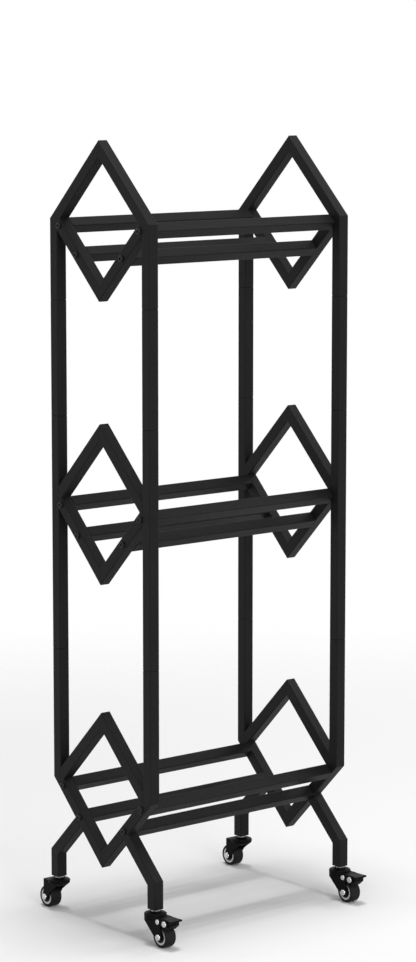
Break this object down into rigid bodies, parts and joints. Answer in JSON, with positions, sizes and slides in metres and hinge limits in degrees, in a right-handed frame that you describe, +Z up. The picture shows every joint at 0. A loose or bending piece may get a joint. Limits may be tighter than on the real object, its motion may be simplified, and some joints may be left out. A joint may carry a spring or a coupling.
{
  "type": "rolling record storage rack",
  "caption": "Open rolling rack of black square tube with diamond end frames and railed V cradles on tiers, for record sleeves, on swivel casters with brakes.",
  "frame": {"origin": "on the floor under the middle of the frame", "axes": "+Z up, X along the rails, +Y from the front (brake pedals) to the rear"},
  "size_m": [0.439, 0.352, 1.2857],
  "materials": {
    "powder_coat": "matte black powder coat",
    "black_bolt": "black oxide",
    "zinc_steel": "zinc plated",
    "caster_black": "satin moulded",
    "bright_metal": "polished",
    "tread_rubber": "matte",
    "core_plastic": "satin"
  },
  "bodies": {
    "rack": {"left_top_frame": "powder_coat", "left_middle_frame": "powder_coat", "left_bottom_frame": "powder_coat", "right_top_frame": "powder_coat", "right_middle_frame": "powder_coat", "right_bottom_frame": "powder_coat", "front_left_spacer_post": "powder_coat", "front_right_spacer_post": "powder_coat", "rear_left_spacer_post": "powder_coat", "rear_right_spacer_post": "powder_coat", "top_front_outer_rail": "powder_coat", "top_front_inner_rail": "powder_coat", "top_rear_outer_rail": "powder_coat", "top_rear_inner_rail": "powder_coat", "middle_front_outer_rail": "powder_coat", "middle_front_inner_rail": "powder_coat", "middle_rear_outer_rail": "powder_coat", "middle_rear_inner_rail": "powder_coat", "bottom_front_outer_rail": "powder_coat", "bottom_front_inner_rail": "powder_coat", "bottom_rear_outer_rail": "powder_coat", "bottom_rear_inner_rail": "powder_coat", "post_sleeves": "zinc_steel", "rail_end_nuts": "zinc_steel", "rail_bolts": "black_bolt", "leg_inserts": "zinc_steel", "caster_stems": "zinc_steel", "swivel_caps": "caster_black"},
    "front_left_swivel": {"front_left_fork": "caster_black", "front_left_swivel_balls": "zinc_steel", "front_left_axle": "bright_metal", "front_left_brake_pin": "bright_metal", "front_left_brake_screws": "bright_metal"},
    "front_left_wheel": {"front_left_wheel_core": "core_plastic", "front_left_tread": "tread_rubber", "front_left_wheel_rings": "bright_metal"},
    "front_left_brake": {"front_left_brake_pedal": "caster_black"},
    "front_right_swivel": {"front_right_fork": "caster_black", "front_right_swivel_balls": "zinc_steel", "front_right_axle": "bright_metal", "front_right_brake_pin": "bright_metal", "front_right_brake_screws": "bright_metal"},
    "front_right_wheel": {"front_right_wheel_core": "core_plastic", "front_right_tread": "tread_rubber", "front_right_wheel_rings": "bright_metal"},
    "front_right_brake": {"front_right_brake_pedal": "caster_black"},
    "rear_left_swivel": {"rear_left_fork": "caster_black", "rear_left_swivel_balls": "zinc_steel", "rear_left_axle": "bright_metal"},
    "rear_left_wheel": {"rear_left_wheel_core": "core_plastic", "rear_left_tread": "tread_rubber", "rear_left_wheel_rings": "bright_metal"},
    "rear_right_swivel": {"rear_right_fork": "caster_black", "rear_right_swivel_balls": "zinc_steel", "rear_right_axle": "bright_metal"},
    "rear_right_wheel": {"rear_right_wheel_core": "core_plastic", "rear_right_tread": "tread_rubber", "rear_right_wheel_rings": "bright_metal"}
  },
  "joints": [
    {"name": "front_left_swivel_turn", "type": "hinge", "parent": "rack", "child": "front_left_swivel", "pos_m": [-0.201, -0.1285, 0.0495], "axis": [0, 0, 1], "continuous": true},
    {"name": "front_left_wheel_spin", "type": "hinge", "parent": "front_left_swivel", "child": "front_left_wheel", "pos_m": [-0.201, -0.152, 0.018], "axis": [1, 0, 0], "continuous": true},
    {"name": "front_left_brake_press", "type": "hinge", "parent": "front_left_swivel", "child": "front_left_brake", "pos_m": [-0.201, -0.1675, 0.0432], "axis": [1, 0, 0], "range_deg": [0, 10]},
    {"name": "front_right_swivel_turn", "type": "hinge", "parent": "rack", "child": "front_right_swivel", "pos_m": [0.201, -0.1285, 0.0495], "axis": [0, 0, 1], "continuous": true},
    {"name": "front_right_wheel_spin", "type": "hinge", "parent": "front_right_swivel", "child": "front_right_wheel", "pos_m": [0.201, -0.152, 0.018], "axis": [1, 0, 0], "continuous": true},
    {"name": "front_right_brake_press", "type": "hinge", "parent": "front_right_swivel", "child": "front_right_brake", "pos_m": [0.201, -0.1675, 0.0432], "axis": [1, 0, 0], "range_deg": [0, 10]},
    {"name": "rear_left_swivel_turn", "type": "hinge", "parent": "rack", "child": "rear_left_swivel", "pos_m": [-0.201, 0.1285, 0.0495], "axis": [0, 0, 1], "continuous": true},
    {"name": "rear_left_wheel_spin", "type": "hinge", "parent": "rear_left_swivel", "child": "rear_left_wheel", "pos_m": [-0.201, 0.152, 0.018], "axis": [1, 0, 0], "continuous": true},
    {"name": "rear_right_swivel_turn", "type": "hinge", "parent": "rack", "child": "rear_right_swivel", "pos_m": [0.201, 0.1285, 0.0495], "axis": [0, 0, 1], "continuous": true},
    {"name": "rear_right_wheel_spin", "type": "hinge", "parent": "rear_right_swivel", "child": "rear_right_wheel", "pos_m": [0.201, 0.152, 0.018], "axis": [1, 0, 0], "continuous": true}
  ]
}
